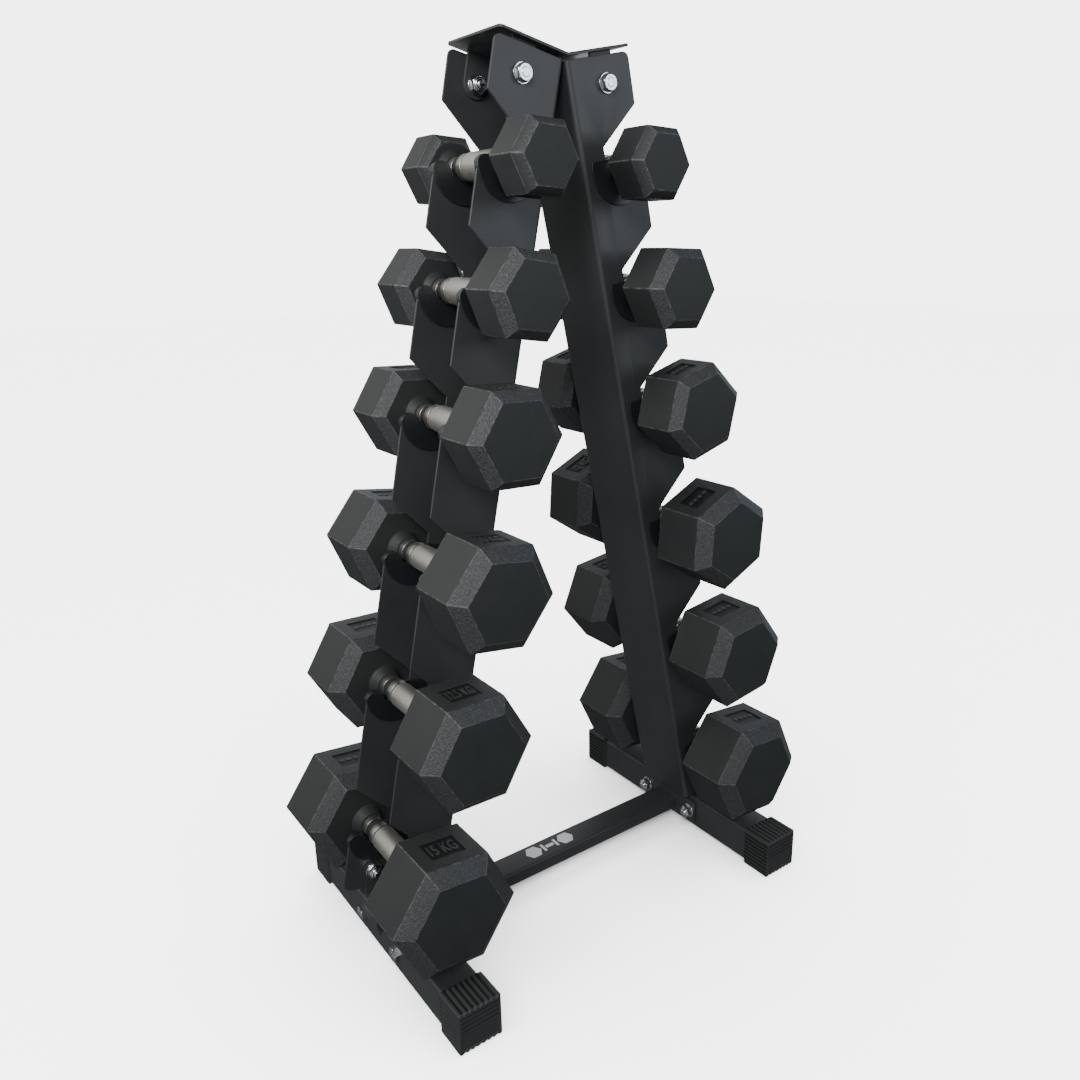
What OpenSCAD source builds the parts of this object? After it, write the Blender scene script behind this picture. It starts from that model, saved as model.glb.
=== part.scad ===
// Two-sided A-frame rack that carries twelve hex dumbbells.
// X runs from one bank to the other, Y along the handles, Z up from the floor.

/* [Base] */
// Distance between the centres of the two base rails
rail_gap = 500; // [480:5:560]
// Length of each square rail
rail_len = 400; // [380:5:460]
// Outside size of the square rail
rail_size = 50; // [48:1:52]
// Wall of the rail and of the crossbar
tube_wall = 2; // [1.5:0.5:3]
// Width of the flat crossbar
bar_w = 40; // [36:1:50]
// Height of the flat crossbar
bar_h = 20; // [18:1:26]
// Distance of each crossbar bolt from the middle of its rail
bar_bolt_y = 47.5; // [45:0.5:50]
// Wall of the rubber end caps
cap_wall = 3; // [2.5:0.5:4]
// Length of rail that each end cap covers
cap_grip = 38; // [30:1:45]

/* [Uprights] */
// Lean of each upright from the vertical
lean = 12; // [11.6:0.1:12.4]
// Length of each folded upright
upright_len = 1023; // [1010:1:1026]
// Width of the channel across its two flanges
channel_w = 98; // [96:1:100]
// Depth of the channel from its web to the tips of its hooks
channel_d = 89; // [88:0.5:91]
// Thickness of the folded sheet
sheet = 3; // [2.5:0.5:3]
// Distance from the middle of the rack to the foot of the web
foot_x = 213.5; // [213:0.5:217]
// Height of the foot of the web above the floor
foot_z = 52; // [51.5:0.5:54]

/* [Cradles] */
// Depth of the handle centres from the web
grip_v = 51.3; // [51:0.1:52]
// Distance of each handle centre up the upright, top row first
row_s = [904.5, 767, 619.5, 451.5, 273, 80];
// Radius of the notch in the sheet
notch_r = 17.5; // [17:0.5:18]
// Radius of the seat in the plastic liner
seat_r = 13.4; // [13.3:0.1:13.6]
// Radius of the rounded hook
tip_r = 10; // [9.5:0.5:10.5]
// Distance of the hook's rounding below the handle centre
hook_drop = 11.5; // [11:0.5:13]
// Distance of the next tooth above the handle centre
tooth_up = 63.5; // [62:0.5:65]
// Height of the straight throat above the handle centre
throat_up = 25; // [22:1:27]
// Radius of the liner's side lips
lip_r = 41; // [38:1:41]
// Thickness of each side lip, and of the wrap over the hook
lip = 2.5; // [2:0.5:2.5]
// Angle between the lift-out path and the channel's depth
path = 38; // [37:0.5:38]

/* [Dumbbells] */
// Across flats of each head, top row first
head_af = [74.5, 90, 104, 117, 124, 136];
// Across flats of the end face
face_af = [58, 69, 82, 88, 94, 101];
// Length of the bevel at each end of a head
bevel = [10.5, 12.5, 11, 15, 14.5, 14];
// Distance from the middle of the handle to the inner face of the head
head_in = [67.5, 68, 71, 72.5, 73, 74];
// Distance from the middle of the handle to the outer face of the head
head_out = [128, 139, 149, 169.5, 170.5, 172.5];
// Rubber over the flats of the iron core
skin = [10.5, 8, 7.5, 12, 9.5, 10.5];
// Turn of each head in its cradle, left bank
roll_left = [-3, -8, -2, -8, -1, -5];
// Turn of each head in its cradle, right bank
roll_right = [-2, -2, 17, 26, 8, -5];
// How far each dumbbell sits off centre along its handle, left bank
shift_left = [1, 0, 0, 0, 4, 2];
// How far each dumbbell sits off centre along its handle, right bank
shift_right = [-4, -4, -2, -3, 0, 3];
// Radius of the knurled grip
grip_r = 16; // [15:0.5:16.5]
// Radius of the neck that sits in the cradles
neck_r = 13; // [12.5:0.1:13]

/* [Fasteners] */
// Thread size of every bolt
bolt_d = 10; // [8:1:10]
// Across flats of the bolt heads and nuts
hex_af = 17; // [16:0.5:18]
// Outside size of the washers
washer_d = 22; // [20:1:22]

/* [Hidden] */
$fn = 64;
eps = 0.01;
rail_z = cap_wall + rail_size / 2;
plate_t = 4;                        // crossbar end plate
plate_w = 119;
plate_h = 36;
bar_x = rail_gap / 2 - rail_size / 2 - plate_t;
hole_r = bolt_d / 2 + 0.5;
washer_t = 2;
head_t = 6.5;
nut_t = 8;
nut_dome = 2;
top_s = upright_len - 29;           // bolts of the top bracket
foot_s = 26;                        // bolts of the foot brackets
wing_gap = 4;                       // gap above the channel ends
wing_y = 110;
wing_v = 88;
in_y = channel_w / 2 - sheet;       // inner face of a flange
rows = [0, 1, 2, 3, 4, 5];

// ---------- shared shapes ----------

module rounded(w, h, r) {
    square([w - 2 * r, h], center = true);
    square([w, h - 2 * r], center = true);
    for (x = [-1, 1], y = [-1, 1]) translate([x * (w / 2 - r), y * (h / 2 - r)]) circle(r);
}

module corner(r) {
    difference() {
        square(2 * r);
        circle(r);
    }
}

// Places its children in an upright's own frame: depth along X, length along Z.
module on_upright(left) {
    mirror([left ? 1 : 0, 0, 0]) translate([foot_x, 0, foot_z]) rotate([0, -lean, 0]) children();
}

// Stands a depth-by-length outline across the channel, between two Y values.
module across(y0, y1) {
    translate([0, y1, 0]) rotate([90, 0, 0]) linear_extrude(y1 - y0) children();
}

function grip_x(i) = foot_x - row_s[i] * sin(lean) + grip_v * cos(lean);
function grip_z(i) = foot_z + row_s[i] * cos(lean) + grip_v * sin(lean);

// ---------- base ----------

module base_rail(side) {
    color("#1c1e20") translate([side * rail_gap / 2, 0, rail_z]) difference() {
        rotate([90, 0, 0]) linear_extrude(rail_len, center = true) difference() {
            rounded(rail_size, rail_size, 4);
            rounded(rail_size - 2 * tube_wall, rail_size - 2 * tube_wall, 2);
        }
        for (y = [-bar_bolt_y, bar_bolt_y]) translate([0, y, 0]) rotate([0, 90, 0])
            cylinder(h = rail_size + 2, r = hole_r, center = true);
        // spare hole in the outer wall
        translate([side * rail_size / 2, 0, 0]) rotate([0, 90, 0]) cylinder(h = 10, r = hole_r, center = true);
    }
}

module crossbar() {
    color("#1c1e20") translate([0, 0, rail_z]) difference() {
        union() {
            rotate([90, 0, 90]) linear_extrude(2 * bar_x, center = true) rounded(bar_w, bar_h, 3);
            for (x = [-1, 1]) translate([x * (bar_x + plate_t / 2), 0, 0]) rotate([90, 0, 90])
                linear_extrude(plate_t, center = true) rounded(plate_w, plate_h, 6);
        }
        rotate([90, 0, 90]) linear_extrude(2 * bar_x, center = true)
            rounded(bar_w - 2 * tube_wall, bar_h - 2 * tube_wall, 1.5);
        for (x = [-1, 1], y = [-bar_bolt_y, bar_bolt_y]) translate([x * bar_x, y, 0]) rotate([0, 90, 0])
            cylinder(h = 20, r = hole_r, center = true);
    }
}

module end_cap(side, end) {
    w = rail_size + 2 * cap_wall;
    rib = 1;
    face = 6.5;
    color("#17191a") translate([side * rail_gap / 2, 0, 0]) mirror([0, end > 0 ? 0 : 1, 0])
        translate([0, rail_len / 2, 0]) difference() {
            translate([-w / 2, -cap_grip, 0]) cube([w, cap_grip + face, w]);
            translate([0, 0, rail_z]) rotate([90, 0, 0]) linear_extrude(cap_grip + 1)
                rounded(rail_size, rail_size, 4);
            // grooves between the ribs on both sides
            for (k = [0:7], x = [-1, 1]) translate([x * w / 2 - rib, -cap_grip - 1, 5 + 6.1 * k])
                cube([2 * rib, cap_grip - 2, 2.6]);
            // grooves between the ridges on top
            for (k = [-3:3]) translate([7 * k - 1.5, -cap_grip - 1, w - rib]) cube([3, cap_grip - 2, 2 * rib]);
            // grooves across the end face
            for (k = [0:3]) translate([-w / 2 + 4, face - rib, 33 + 5.2 * k]) cube([w - 8, 2 * rib, 2.4]);
        }
}

// Welded U bracket with two tabs that the channel's flanges bolt to.
module foot_bracket(left) {
    top = rail_z + rail_size / 2;
    color("#1c1e20") difference() {
        union() {
            mirror([left ? 1 : 0, 0, 0]) translate([rail_gap / 2 - 18, -in_y, top]) cube([40, 2 * in_y, sheet]);
            for (y = [-in_y, in_y - sheet]) {
                on_upright(left) across(y, y + sheet) translate([grip_v, foot_s]) circle(11.5);
                mirror([left ? 1 : 0, 0, 0]) across(y, y + sheet) polygon([
                    [rail_gap / 2 - 18, top], [rail_gap / 2 + 22, top],
                    [rail_gap / 2 + 18.5, top + 34], [rail_gap / 2 - 4.5, top + 34]]);
            }
        }
        on_upright(left) translate([grip_v, 0, foot_s]) rotate([90, 0, 0])
            cylinder(h = channel_w, r = hole_r, center = true);
    }
}

// ---------- uprights ----------

// What is cut from a flange for one cradle, about the row's own height.
module bite() {
    difference() {
        union() {
            translate([grip_v, 0]) circle(notch_r);
            polygon([
                [grip_v - notch_r, 0], [grip_v - notch_r, throat_up],
                [channel_d, tooth_up], [channel_d + 5, tooth_up],
                [channel_d + 5, -hook_drop], [grip_v, -hook_drop]]);
        }
        translate([channel_d - tip_r, -hook_drop]) circle(tip_r);
    }
}

module flange_outline() {
    difference() {
        square([channel_d, upright_len]);
        for (i = rows) translate([0, row_s[i]]) bite();
        translate([channel_d - 8, upright_len - 8]) corner(8);
        translate([channel_d - 12, 12]) mirror([0, 1]) corner(12);
        for (s = [foot_s, top_s]) translate([grip_v, s]) circle(hole_r);
    }
}

module upright(left) {
    color("#202224") on_upright(left) intersection() {
        linear_extrude(upright_len) difference() {
            union() {
                translate([6, -channel_w / 2]) square([channel_d - 6, channel_w]);
                translate([6, 0]) rounded(12, channel_w, 5.9);
            }
            translate([sheet + 3, -in_y]) square([channel_d, 2 * in_y]);
            translate([sheet + 3, 0]) rounded(6, 2 * in_y, 2.9);
        }
        across(-channel_w, channel_w) flange_outline();
    }
}

module top_bracket() {
    color("#202224") for (left = [false, true]) difference() {
        union() {
            intersection() {
                on_upright(left) translate([wing_v / 2 - 5, 0, upright_len + wing_gap])
                    linear_extrude(sheet) rounded(wing_v + 10, wing_y, 5);
                translate([left ? -200 : 0, -100, 900]) cube([200, 200, 300]);
            }
            on_upright(left) for (y = [-in_y, in_y - sheet]) across(y, y + sheet) {
                translate([grip_v, top_s]) circle(15);
                translate([grip_v - 15, top_s]) square([30, upright_len + wing_gap - top_s + eps]);
            }
        }
        on_upright(left) translate([grip_v, 0, top_s]) rotate([90, 0, 0])
            cylinder(h = channel_w, r = hole_r, center = true);
    }
}

// Side view of a liner: round lips, open along the lift-out path.
module liner_outline() {
    difference() {
        intersection() {
            translate([grip_v, 0]) circle(lip_r);
            union() {
                translate([grip_v - lip_r, -lip_r]) square([lip_r, lip_r + 12]);
                translate([grip_v - 1, -lip_r]) square([channel_d + lip - grip_v + 1, lip_r - hook_drop]);
                translate([channel_d - tip_r, -hook_drop]) circle(tip_r + lip);
            }
        }
        translate([grip_v, 0]) circle(seat_r);
        translate([grip_v, 0]) rotate(path) translate([0, -seat_r]) square([80, 2 * seat_r]);
    }
}

module cradle_liners(left) {
    color("#101213") on_upright(left) for (i = rows, y = [-channel_w / 2, in_y]) translate([0, 0, row_s[i]]) {
        across(y - lip, y) liner_outline();
        across(y, y + sheet) intersection() {
            liner_outline();
            union() {
                bite();
                translate([channel_d, -100]) square([20, 100]);
            }
        }
        across(y + sheet, y + sheet + lip) liner_outline();
    }
}

// ---------- fasteners, built along Z from the bearing face ----------

module hex(h) { cylinder(h = h, r = hex_af / 2 / cos(30), $fn = 6); }

module bolt(reach) {
    translate([0, 0, -head_t]) hex(head_t);
    translate([0, 0, -eps]) cylinder(h = reach + eps, r = bolt_d / 2);
}

module washer() {
    difference() {
        cylinder(h = washer_t, r = washer_d / 2);
        translate([0, 0, -1]) cylinder(h = washer_t + 2, r = bolt_d / 2 + 0.3);
    }
}

module lock_nut() {
    difference() {
        union() {
            hex(nut_t);
            cylinder(h = nut_t + nut_dome, r = hex_af / 2 - 1);
        }
        translate([0, 0, -1]) cylinder(h = nut_t + nut_dome + 2, r = bolt_d / 2 + 0.02);
    }
}

// Both bolts of each bolted joint of the channels, from the outer face inwards.
module channel_joints(s, depth) {
    for (left = [false, true], end = [0, 1]) on_upright(left) mirror([0, end, 0])
        translate([grip_v, channel_w / 2 - depth, s]) rotate([90, 0, 0]) children();
}

module rail_joints(depth) {
    for (x = [0, 1], y = [-bar_bolt_y, bar_bolt_y]) mirror([x, 0, 0])
        translate([rail_gap / 2 + rail_size / 2 - depth, y, rail_z]) rotate([0, -90, 0]) children();
}

clamp = 2 * sheet;
base_clamp = rail_size + plate_t;
module channel_bolts(s) { color("#c9ccce") channel_joints(s, -washer_t) bolt(washer_t * 2 + clamp + nut_t + 4); }
module channel_washers(s) {
    color("#b9bcbe") {
        channel_joints(s, -washer_t) washer();
        channel_joints(s, clamp) washer();
    }
}
module channel_nuts(s) { color("#c9ccce") channel_joints(s, clamp + washer_t) lock_nut(); }
module base_bolts() { color("#c9ccce") rail_joints(0) bolt(base_clamp + washer_t + nut_t + 4); }
module base_washers() { color("#b9bcbe") rail_joints(base_clamp) washer(); }
module base_nuts() { color("#c9ccce") rail_joints(base_clamp + washer_t) lock_nut(); }

// ---------- dumbbells ----------

ring_y = [22, 25, 36, 47, 57];      // grip, groove, outer ring, band, inner ring
bar_r = 11;                         // plain end of the handle, inside the head
socket = 34;                        // how far it goes into the head
pocket = 1.5;                       // depth of the label pocket

module dumbbell(left, i) {
    translate([(left ? -1 : 1) * grip_x(i), left ? shift_left[i] : shift_right[i], grip_z(i)])
        rotate([0, -(left ? roll_left[i] : roll_right[i]), 0]) children();
}

module both_ends() {
    for (end = [0, 1]) mirror([0, end, 0]) rotate([-90, 0, 0]) children();
}

// One turned bar, drawn as its half profile.
module handle(left, i) {
    tip = head_in[i] + socket;
    color("#c8c4b8") dumbbell(left, i) both_ends() rotate_extrude() polygon([
        [0, 0], [grip_r, 0], [grip_r, ring_y[0] - 4], [grip_r - 0.8, ring_y[0]],
        [neck_r - 1, ring_y[0]], [neck_r - 1, ring_y[1]],
        [grip_r - 1.8, ring_y[1]], [grip_r - 1, ring_y[1] + 2], [grip_r - 1, ring_y[2] - 2],
        [grip_r - 1.8, ring_y[2]], [bar_r, ring_y[2]],
        [bar_r, ring_y[3]], [neck_r, ring_y[3]], [neck_r, ring_y[4]], [bar_r, ring_y[4]],
        [bar_r, tip], [0, tip]]);
}

module core_shape(i) {
    len = head_out[i] - head_in[i];
    cut = skin[i];
    translate([0, 0, head_in[i] + cut])
        cylinder(h = len - 2 * cut, r = (head_af[i] / 2 - skin[i]) / cos(30), $fn = 6);
}

module cores(left, i) {
    color("#4a4a4c") dumbbell(left, i) both_ends() difference() {
        core_shape(i);
        translate([0, 0, head_in[i] - 1]) cylinder(h = socket + 1.5, r = bar_r + 0.05);
    }
}

// Two moulded heads, and the two bands between the chrome rings.
module rubber(left, i) {
    big = head_af[i] / 2 / cos(30);
    small = face_af[i] / 2 / cos(30);
    b = bevel[i];
    len = head_out[i] - head_in[i];
    label_w = 0.32 * head_af[i];    // pocket on the flat that lies uppermost
    label_l = 0.5 * (len - 2 * b);
    color("#2b2d2e") dumbbell(left, i) both_ends() {
        difference() {
            union() {
                translate([0, 0, head_in[i]]) cylinder(h = b, r1 = small, r2 = big, $fn = 6);
                translate([0, 0, head_in[i] + b]) cylinder(h = len - 2 * b, r = big, $fn = 6);
                translate([0, 0, head_out[i] - b]) cylinder(h = b, r1 = big, r2 = small, $fn = 6);
                translate([0, 0, ring_y[4]]) cylinder(h = head_in[i] - ring_y[4] + 1, r1 = 15, r2 = 21);
            }
            core_shape(i);
            translate([-label_w / 2, -head_af[i] / 2 - 1, head_in[i] + len / 2 - label_l / 2])
                cube([label_w, 1 + pocket, label_l]);
            translate([0, 0, ring_y[4] - 1]) cylinder(h = head_in[i] - ring_y[4] + skin[i] + 2, r = bar_r + 0.05);
        }
        translate([0, 0, ring_y[2]]) difference() {
            cylinder(h = ring_y[3] - ring_y[2], r = neck_r - 0.2);
            translate([0, 0, -1]) cylinder(h = 20, r = bar_r + 0.05);
        }
    }
}

// ---------- assembly ----------

base_rail(-1);  // base_rail_left
base_rail(1);  // base_rail_right
crossbar();
end_cap(-1, -1);  // end_cap_left_front
end_cap(-1, 1);  // end_cap_left_back
end_cap(1, -1);  // end_cap_right_front
end_cap(1, 1);  // end_cap_right_back
foot_bracket(true);  // foot_bracket_left
foot_bracket(false);  // foot_bracket_right
upright(true);  // upright_left
upright(false);  // upright_right
top_bracket();
cradle_liners(true);  // cradle_liners_left
cradle_liners(false);  // cradle_liners_right
channel_bolts(top_s);  // top_bolts
channel_washers(top_s);  // top_washers
channel_nuts(top_s);  // top_nuts
base_bolts();
base_washers();
base_nuts();
channel_bolts(foot_s);  // foot_bolts
channel_washers(foot_s);  // foot_washers
channel_nuts(foot_s);  // foot_nuts
for (i = rows, left = [true, false]) {
    name = str(left ? "left_" : "right_", i + 1);
    handle(left, i);
    rubber(left, i);
    cores(left, i);
}
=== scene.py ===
# %% [markdown]
# # A rack of twelve hex dumbbells, dressed in Blender
# Two folded steel channels lean together over two square floor rails. Each channel carries six
# dumbbells in lined notches. The engineering model is loaded first and never moved. Every new
# piece below is worked out as an array of points in the same frame, so it lands in place.

# %% Load the engineering model
import math

import bmesh
import bpy
import numpy as np
from mathutils import Matrix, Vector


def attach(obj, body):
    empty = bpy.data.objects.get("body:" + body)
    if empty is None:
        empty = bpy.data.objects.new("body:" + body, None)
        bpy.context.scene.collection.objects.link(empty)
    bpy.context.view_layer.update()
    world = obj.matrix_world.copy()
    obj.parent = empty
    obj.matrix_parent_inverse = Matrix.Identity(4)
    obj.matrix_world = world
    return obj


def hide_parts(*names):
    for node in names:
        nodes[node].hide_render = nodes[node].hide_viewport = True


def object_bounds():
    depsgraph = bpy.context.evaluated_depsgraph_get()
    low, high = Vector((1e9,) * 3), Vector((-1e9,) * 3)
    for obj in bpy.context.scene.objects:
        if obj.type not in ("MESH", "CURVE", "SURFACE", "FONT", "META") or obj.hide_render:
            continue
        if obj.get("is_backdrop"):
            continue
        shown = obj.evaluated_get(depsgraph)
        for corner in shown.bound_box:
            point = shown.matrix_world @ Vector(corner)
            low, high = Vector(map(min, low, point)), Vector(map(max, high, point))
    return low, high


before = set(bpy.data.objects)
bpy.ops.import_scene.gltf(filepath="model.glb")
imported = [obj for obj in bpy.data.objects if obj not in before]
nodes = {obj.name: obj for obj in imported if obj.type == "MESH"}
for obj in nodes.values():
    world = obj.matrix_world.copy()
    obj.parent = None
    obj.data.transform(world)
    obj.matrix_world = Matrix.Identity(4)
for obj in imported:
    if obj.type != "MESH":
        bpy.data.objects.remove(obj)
cad_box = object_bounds()

# %% [markdown]
# ## Colour and shader helpers
# Paint and rubber colours are given as sRGB hex values, but shaders work in linear light,
# so one function converts them. A second small function adds any node, sets its properties and
# joins its inputs, which keeps each material short enough to read like a recipe.

# %% Helpers for materials
def linear(code):
    """sRGB hex to linear RGBA: a channel is divided by 12.92 in the darks, and raised to 2.4 above."""
    c = np.array([int(code[i:i + 2], 16) for i in (1, 3, 5)]) / 255
    c = np.where(c <= 0.04045, c / 12.92, ((c + 0.055) / 1.055) ** 2.4)
    return (*c.tolist(), 1.0)


def add(tree, kind, sockets=(), **properties):
    """Adds one shader node. A socket value that is itself a socket is joined, any other is set."""
    n = tree.nodes.new("ShaderNode" + kind)
    for key, value in properties.items():
        setattr(n, key, value)
    for key, value in dict(sockets).items():
        if isinstance(value, bpy.types.NodeSocket):
            tree.links.new(value, n.inputs[key])
        else:
            n.inputs[key].default_value = value
    return n


def surface(name, **sockets):
    """A new material with a Principled shader. Returns the material, its node tree and the shader."""
    m = bpy.data.materials.new(name)
    m.use_nodes = True
    shader = m.node_tree.nodes["Principled BSDF"]
    for key, value in sockets.items():
        shader.inputs[key.replace("_", " ")].default_value = value
    return m, m.node_tree, shader


def blend_colours(tree, factor, low, high):
    """Mixes two sRGB hex colours by a factor socket and returns the colour socket."""
    mix = add(tree, "Mix", data_type="RGBA")
    tree.links.new(factor, mix.inputs["Factor"])
    mix.inputs[6].default_value, mix.inputs[7].default_value = linear(low), linear(high)
    return mix.outputs[2]


def tint(below, factor, above):
    """Lays a hex colour or a colour socket over a colour socket, by a factor socket."""
    tree = below.id_data
    mix = add(tree, "Mix", data_type="RGBA")
    tree.links.new(factor, mix.inputs["Factor"])
    tree.links.new(below, mix.inputs[6])
    if isinstance(above, str):
        mix.inputs[7].default_value = linear(above)
    else:
        tree.links.new(above, mix.inputs[7])
    return mix.outputs[2]


print("dark rubber in linear light:", [round(v, 4) for v in linear("#2b2d2e")])

# %% [markdown]
# ## Powder coat
# The rails, crossbar and channels are mild steel with a baked black powder coat. Powder melts into
# a skin that is satin, with a fine orange peel about 1 mm from bump to bump and a finer grain of
# 0.4 mm, drawn coarser than it is so that it shows. Two noises in the bump make both, and a slow
# third noise shifts the gloss a little, because no sprayed coat is even. The rounded edges of the
# mesh catch the light, so no wear has to be painted.

# %% Satin black powder coat on steel
coat, t, shader = surface("satin_black_powder_coat", IOR=1.5, Specular_IOR_Level=0.4)
place = add(t, "TexCoord").outputs["Object"]
peel = add(t, "TexNoise", {"Vector": place, "Scale": 900.0, "Detail": 2.0})       # about 1.1 mm
grain = add(t, "TexNoise", {"Vector": place, "Scale": 2600.0, "Detail": 1.0})     # about 0.4 mm
cloud = add(t, "TexNoise", {"Vector": place, "Scale": 14.0, "Detail": 3.0})       # about 70 mm
height = add(t, "Math", {0: peel.outputs["Fac"], 1: grain.outputs["Fac"]}, operation="ADD")
bump = add(t, "Bump", {"Height": height.outputs[0], "Strength": 0.22, "Distance": 0.0002})
gloss = add(t, "MapRange", {"Value": cloud.outputs["Fac"], "To Min": 0.36, "To Max": 0.50})
t.links.new(gloss.outputs["Result"], shader.inputs["Roughness"])
t.links.new(blend_colours(t, cloud.outputs["Fac"], "#292b2c", "#353738"), shader.inputs["Base Color"])
t.links.new(bump.outputs["Normal"], shader.inputs["Normal"])
print("made", coat.name)

# %% [markdown]
# ## Head rubber
# The heads are iron cast over with recycled rubber. The long flats leave the mould smooth and
# charcoal. The sloping bands round both ends have a coarse pebble grain that hides knocks. Corners
# are painted paler: partly rub wear, partly a painted highlight along the rounded edges. The label
# pocket floors are painted near black, as painted shade in the recess. Each head mesh carries three
# numbers per point in an attribute called marks: 1 on a pebbled band, 1 along a corner, 1 in a
# pocket. The pebble's strength and all three tones follow them. Pebbles are Voronoi cells 1.5 mm across.

# %% Moulded charcoal rubber
rubber, t, shader = surface("moulded_charcoal_rubber", IOR=1.52, Specular_IOR_Level=0.3)
place = add(t, "TexCoord").outputs["Object"]
marks = add(t, "SeparateXYZ", {0: add(t, "Attribute", attribute_name="marks").outputs["Vector"]}).outputs
pebble = add(t, "TexVoronoi", {"Vector": place, "Scale": 660.0}, feature="SMOOTH_F1")    # about 1.5 mm
fine = add(t, "TexNoise", {"Vector": place, "Scale": 1500.0, "Detail": 2.0})             # about 0.7 mm
mottle = add(t, "TexNoise", {"Vector": place, "Scale": 30.0, "Detail": 4.0, "Roughness": 0.6})
knocks = add(t, "TexNoise", {"Vector": place, "Scale": 160.0, "Detail": 3.0})            # about 6 mm
rough_part = add(t, "Math", {0: pebble.outputs["Distance"], 1: marks[0]}, operation="MULTIPLY")
height = add(t, "Math", {0: rough_part.outputs[0], 1: 3.0, 2: fine.outputs["Fac"]}, operation="MULTIPLY_ADD")
bump = add(t, "Bump", {"Height": height.outputs[0], "Strength": 0.6, "Distance": 0.0004})
gloss = add(t, "MapRange", {"Value": mottle.outputs["Fac"], "To Min": 0.50, "To Max": 0.62})
t.links.new(gloss.outputs["Result"], shader.inputs["Roughness"])
rubbed = add(t, "MapRange", {"Value": knocks.outputs["Fac"], "From Min": 0.35, "From Max": 0.65,
                             "To Min": 0.0, "To Max": 0.5})
# Corners go paler: rub wear in patches, and a painted highlight along the rounded edges.
worn_and_highlit_corners = add(t, "Math", {0: rubbed.outputs["Result"], 1: marks[1]}, operation="MULTIPLY")
# Pocket floors and the feet of the raised figures go near black: painted shade in the recess.
painted_pocket_shade = add(t, "Math", {0: marks[2], 1: 0.95}, operation="MULTIPLY")
tone = blend_colours(t, mottle.outputs["Fac"], "#202324", "#2a2c2c")
tone = tint(tone, marks[0], blend_colours(t, pebble.outputs["Distance"], "#1b1d1f", "#46484a"))
tone = tint(tone, worn_and_highlit_corners.outputs[0], "#707272")
tone = tint(tone, painted_pocket_shade.outputs[0], "#0c0d0e")
t.links.new(tone, shader.inputs["Base Color"])
t.links.new(bump.outputs["Normal"], shader.inputs["Normal"])
print("made", rubber.name)

# %% [markdown]
# ## The smaller finishes
# End caps are a softer moulded rubber with an even matt skin. Cradle liners are injection-moulded
# polypropylene, darker and smoother, so they show a soft highlight. The handle is satin chrome
# plate, rougher on the knurled grip than on the collars: there the first of the marks is 1. Bolts,
# nuts and washers are bright zinc, whose crystals are drawn about half a millimetre across so that
# they show. The iron inside the heads is as cast.

# %% Cap rubber, liner plastic, chrome, zinc, cast iron and white print
cap_rubber, t, shader = surface("end_cap_rubber", IOR=1.52, Roughness=0.6)
place = add(t, "TexCoord").outputs["Object"]
skin = add(t, "TexNoise", {"Vector": place, "Scale": 1100.0, "Detail": 3.0})             # about 0.9 mm
bump = add(t, "Bump", {"Height": skin.outputs["Fac"], "Strength": 0.35, "Distance": 0.00025})
dust = add(t, "TexNoise", {"Vector": place, "Scale": 60.0, "Detail": 4.0})
# Points deep in the grooves go near black: painted shade.
pressed = add(t, "SeparateXYZ", {0: add(t, "Attribute", attribute_name="marks").outputs["Vector"]}).outputs[2]
tone = tint(blend_colours(t, dust.outputs["Fac"], "#1e2021", "#2c2e2f"), pressed, "#070808")
t.links.new(tone, shader.inputs["Base Color"])
t.links.new(bump.outputs["Normal"], shader.inputs["Normal"])

liner_plastic, t, shader = surface("black_polypropylene_liner", IOR=1.49, Roughness=0.38)
place = add(t, "TexCoord").outputs["Object"]
skin = add(t, "TexNoise", {"Vector": place, "Scale": 1800.0, "Detail": 1.0})             # about 0.6 mm
bump = add(t, "Bump", {"Height": skin.outputs["Fac"], "Strength": 0.15, "Distance": 0.0002})
flow = add(t, "TexNoise", {"Vector": place, "Scale": 45.0, "Detail": 2.0})
t.links.new(blend_colours(t, flow.outputs["Fac"], "#141619", "#1e2124"), shader.inputs["Base Color"])
t.links.new(bump.outputs["Normal"], shader.inputs["Normal"])

chrome, t, shader = surface("satin_chrome_plate", Metallic=1.0)
place = add(t, "TexCoord").outputs["Object"]
grip = add(t, "SeparateXYZ", {0: add(t, "Attribute", attribute_name="marks").outputs["Vector"]}).outputs[0]
scuff = add(t, "TexNoise", {"Vector": place, "Scale": 350.0, "Detail": 4.0})             # about 3 mm
satin = add(t, "Math", {0: grip, 1: 0.12, 2: 0.32}, operation="MULTIPLY_ADD")
haze = add(t, "Math", {0: scuff.outputs["Fac"], 1: 0.12, 2: satin.outputs[0]}, operation="MULTIPLY_ADD")
t.links.new(haze.outputs[0], shader.inputs["Roughness"])
t.links.new(blend_colours(t, scuff.outputs["Fac"], "#aaa8a2", "#c4c2bb"), shader.inputs["Base Color"])

zinc, t, shader = surface("bright_zinc_plate", Metallic=1.0)
place = add(t, "TexCoord").outputs["Object"]
crystal = add(t, "TexVoronoi", {"Vector": place, "Scale": 1600.0})                       # about 0.6 mm
haze = add(t, "MapRange", {"Value": crystal.outputs["Distance"], "To Min": 0.14, "To Max": 0.30})
t.links.new(haze.outputs["Result"], shader.inputs["Roughness"])
t.links.new(blend_colours(t, crystal.outputs["Distance"], "#ccd0d2", "#a9aeb0"), shader.inputs["Base Color"])

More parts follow.
